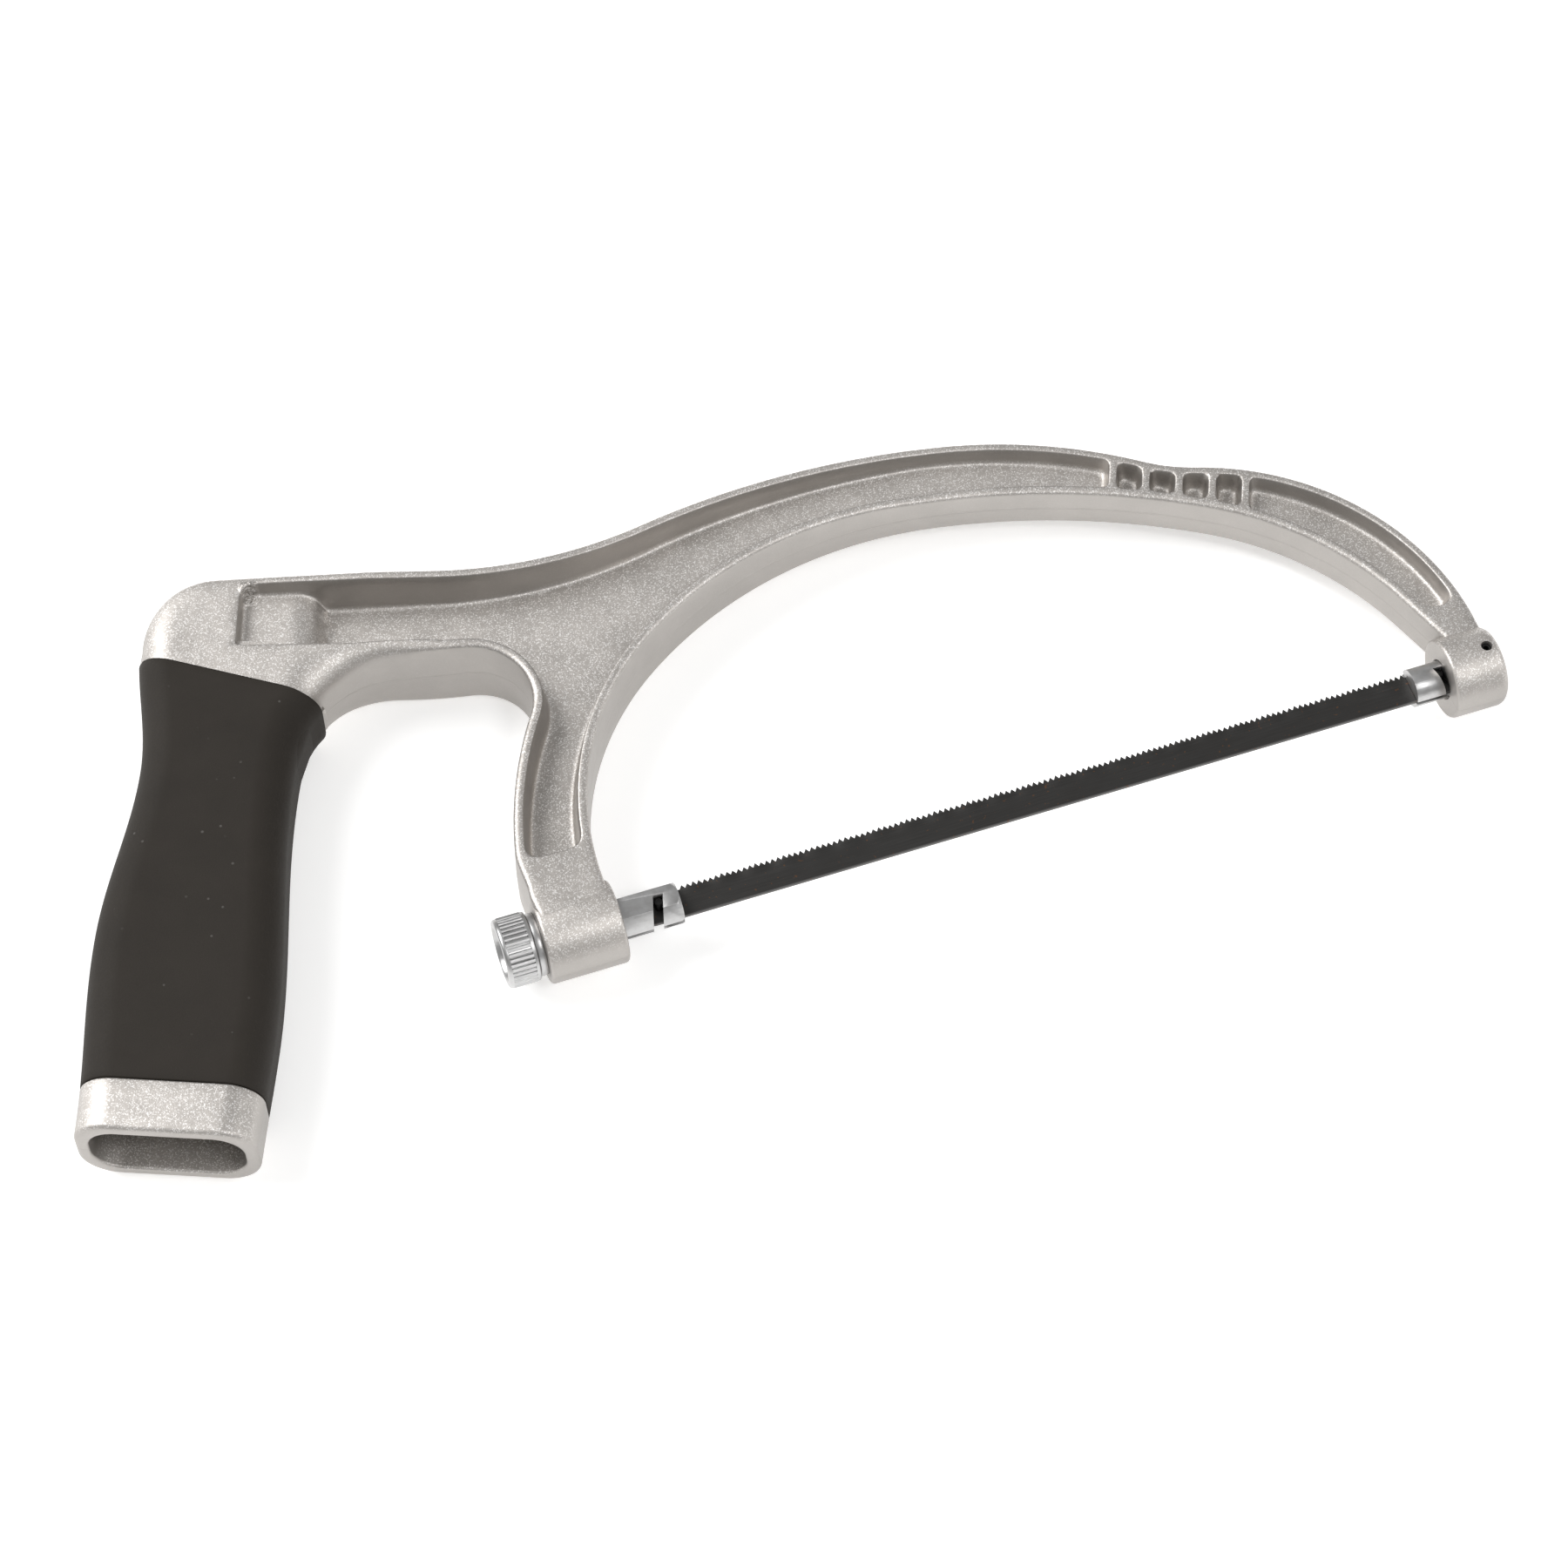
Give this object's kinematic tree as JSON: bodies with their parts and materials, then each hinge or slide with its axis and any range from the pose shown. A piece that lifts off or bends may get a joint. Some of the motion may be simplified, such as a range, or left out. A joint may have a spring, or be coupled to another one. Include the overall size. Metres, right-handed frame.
{
  "type": "hacksaw",
  "caption": "Small hacksaw with a one-piece bow and pistol-grip frame, rubber sleeve, slotted blade holders, knurled tension nut and a pin-ended blade.",
  "frame": {"origin": "middle of the box in X and Y, at the surface that the saw lies on", "axes": "+X along the blade from the handle to the nose, +Y from the blade to the bow, +Z square to the frame's side"},
  "size_m": [0.27, 0.1132, 0.019],
  "materials": {
    "cast_aluminium": "as cast, blasted",
    "rubber": "matte",
    "zinc_steel": "bright zinc plated",
    "pin_steel": "dull",
    "blade_steel": "blued, brushed lengthwise"
  },
  "bodies": {
    "frame": {"frame": "cast_aluminium", "grip_sleeve": "rubber", "nut_washer": "zinc_steel", "front_blade_holder": "zinc_steel", "front_holder_pin": "pin_steel"},
    "nut": {"tension_nut": "zinc_steel"},
    "draw_bolt": {"rear_blade_holder": "zinc_steel"},
    "blade": {"blade": "blade_steel", "blade_pin_rear": "pin_steel", "blade_pin_front": "pin_steel"}
  },
  "joints": [
    {"name": "nut_turn", "type": "hinge", "parent": "frame", "child": "nut", "pos_m": [-0.05028, -0.03146, 0.0095], "axis": [-1, 0, 0], "range_deg": [0, 1440]},
    {"name": "bolt_slide", "type": "slide", "parent": "frame", "child": "draw_bolt", "axis": [1, 0, 0], "range_m": [0, 0.0032]},
    {"name": "blade_swing", "type": "hinge", "parent": "frame", "child": "blade", "pos_m": [0.12372, -0.03146, 0.0095], "axis": [0, 0, 1], "range_deg": [0, 3.82]}
  ],
  "couplings": [
    {"joint": "nut_turn", "follows": "bolt_slide", "rad_per_m": 7853.9},
    {"joint": "blade_swing", "follows": "bolt_slide", "rad_per_m": 20.8}
  ]
}
